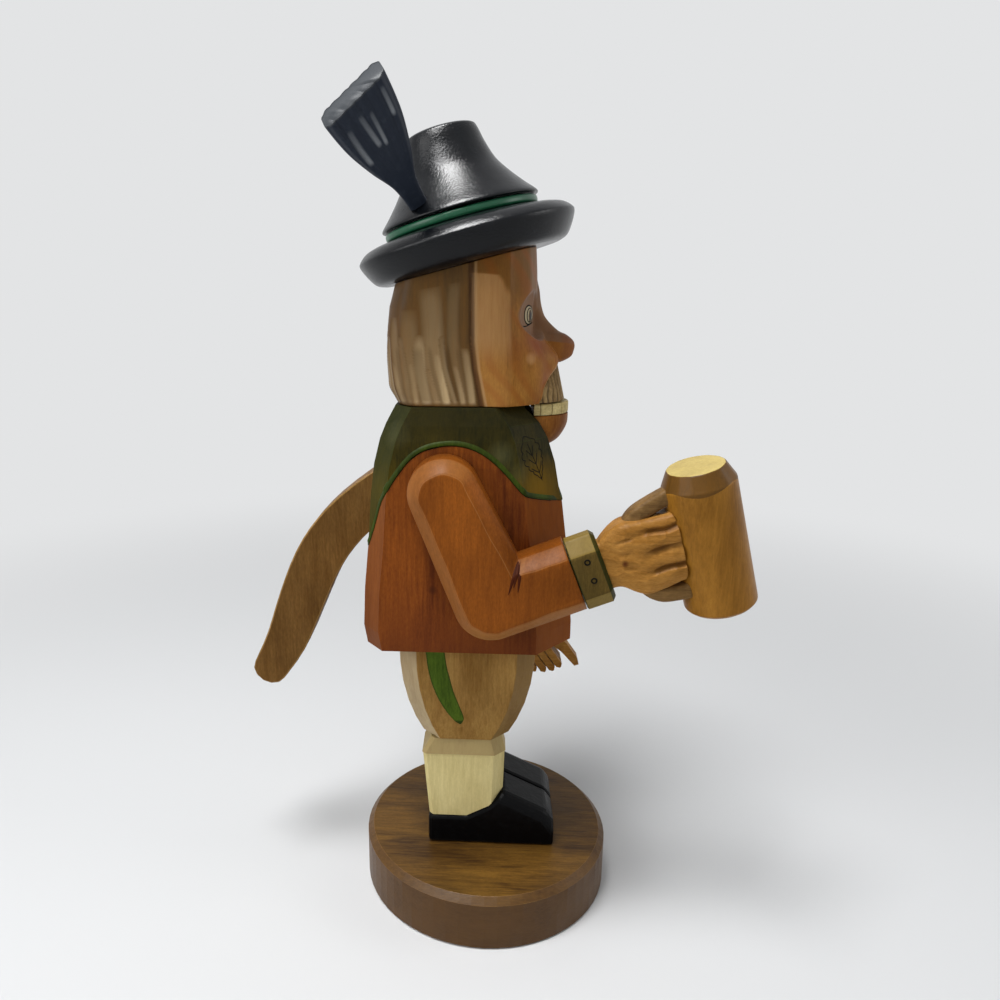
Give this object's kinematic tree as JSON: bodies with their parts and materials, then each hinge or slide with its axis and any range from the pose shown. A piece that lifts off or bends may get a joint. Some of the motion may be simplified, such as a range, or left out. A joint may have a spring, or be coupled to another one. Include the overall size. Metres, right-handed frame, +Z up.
{
  "type": "wooden nutcracker figure",
  "caption": "Carved and stained wooden nutcracker figure with a tall brushed hat, holding a mug and standing on a round base; a lever in its back opens the jaw.",
  "frame": {"origin": "centre of the round base's underside", "axes": "+X the way the figure faces, +Y toward its left hand, +Z up"},
  "size_m": [0.2123, 0.114, 0.3441],
  "materials": {
    "walnut_stain": "walnut stain, satin, open grain",
    "shoe_paint": "black paint, glossy on the facets",
    "lime_wood": "cream stain, satin",
    "pale_stain": "pale stain with a painted green stripe, satin",
    "mahogany_stain": "red-brown stain, satin",
    "olive_stain": "olive green stain, satin, with a burnt-in oak leaf",
    "lever_wood": "clear satin finish",
    "chin_stain": "red-brown stain, satin",
    "cream_paint": "cream stain with carved lines",
    "honey_stain": "honey stain, satin, hair bleached by sanding",
    "grey_brown_stain": "grey-brown stain, satin",
    "beech_dowel": "bare beech",
    "chestnut_stain": "chestnut stain, satin",
    "cuff_stain": "olive stain, sanded on the corners",
    "hand_stain": "honey stain, satin",
    "handle_stain": "grey-brown stain, satin",
    "mug_stain": "golden brown stain, satin, cream painted top",
    "black_paint": "black paint, satin gloss",
    "green_paint": "green paint, satin gloss",
    "brush_paint": "black paint with dry-brushed grey strokes",
    "pin_steel": "plain drawn steel",
    "screw_steel": "plain steel"
  },
  "bodies": {
    "figure": {"plinth": "walnut_stain", "right_shoe": "shoe_paint", "left_shoe": "shoe_paint", "right_stocking": "lime_wood", "left_stocking": "lime_wood", "trousers": "pale_stain", "jacket": "mahogany_stain", "shoulder_cape": "olive_stain", "head": "honey_stain", "moustache": "grey_brown_stain", "hat_brim": "black_paint", "hat_band": "green_paint", "hat_crown": "black_paint", "hat_brush": "brush_paint", "right_sleeve": "chestnut_stain", "left_sleeve": "chestnut_stain", "right_cuff": "cuff_stain", "left_cuff": "cuff_stain", "right_hand": "hand_stain", "left_hand": "hand_stain", "mug_handle": "handle_stain", "mug": "mug_stain", "pivot_pin": "pin_steel", "right_leg_screw": "screw_steel", "left_leg_screw": "screw_steel", "right_waist_dowel": "beech_dowel", "left_waist_dowel": "beech_dowel", "right_head_dowel": "beech_dowel", "left_head_dowel": "beech_dowel", "right_shoulder_dowel": "beech_dowel", "left_shoulder_dowel": "beech_dowel", "right_wrist_dowel": "beech_dowel", "left_wrist_dowel": "beech_dowel", "hat_dowel": "beech_dowel"},
    "jaw": {"jaw_lever": "lever_wood", "chin": "chin_stain", "lower_teeth": "cream_paint"}
  },
  "joints": [
    {"name": "jaw_hinge", "type": "hinge", "parent": "figure", "child": "jaw", "pos_m": [-0.014, 0, 0.2054], "axis": [0, 1, 0], "range_deg": [0, 28]}
  ]
}
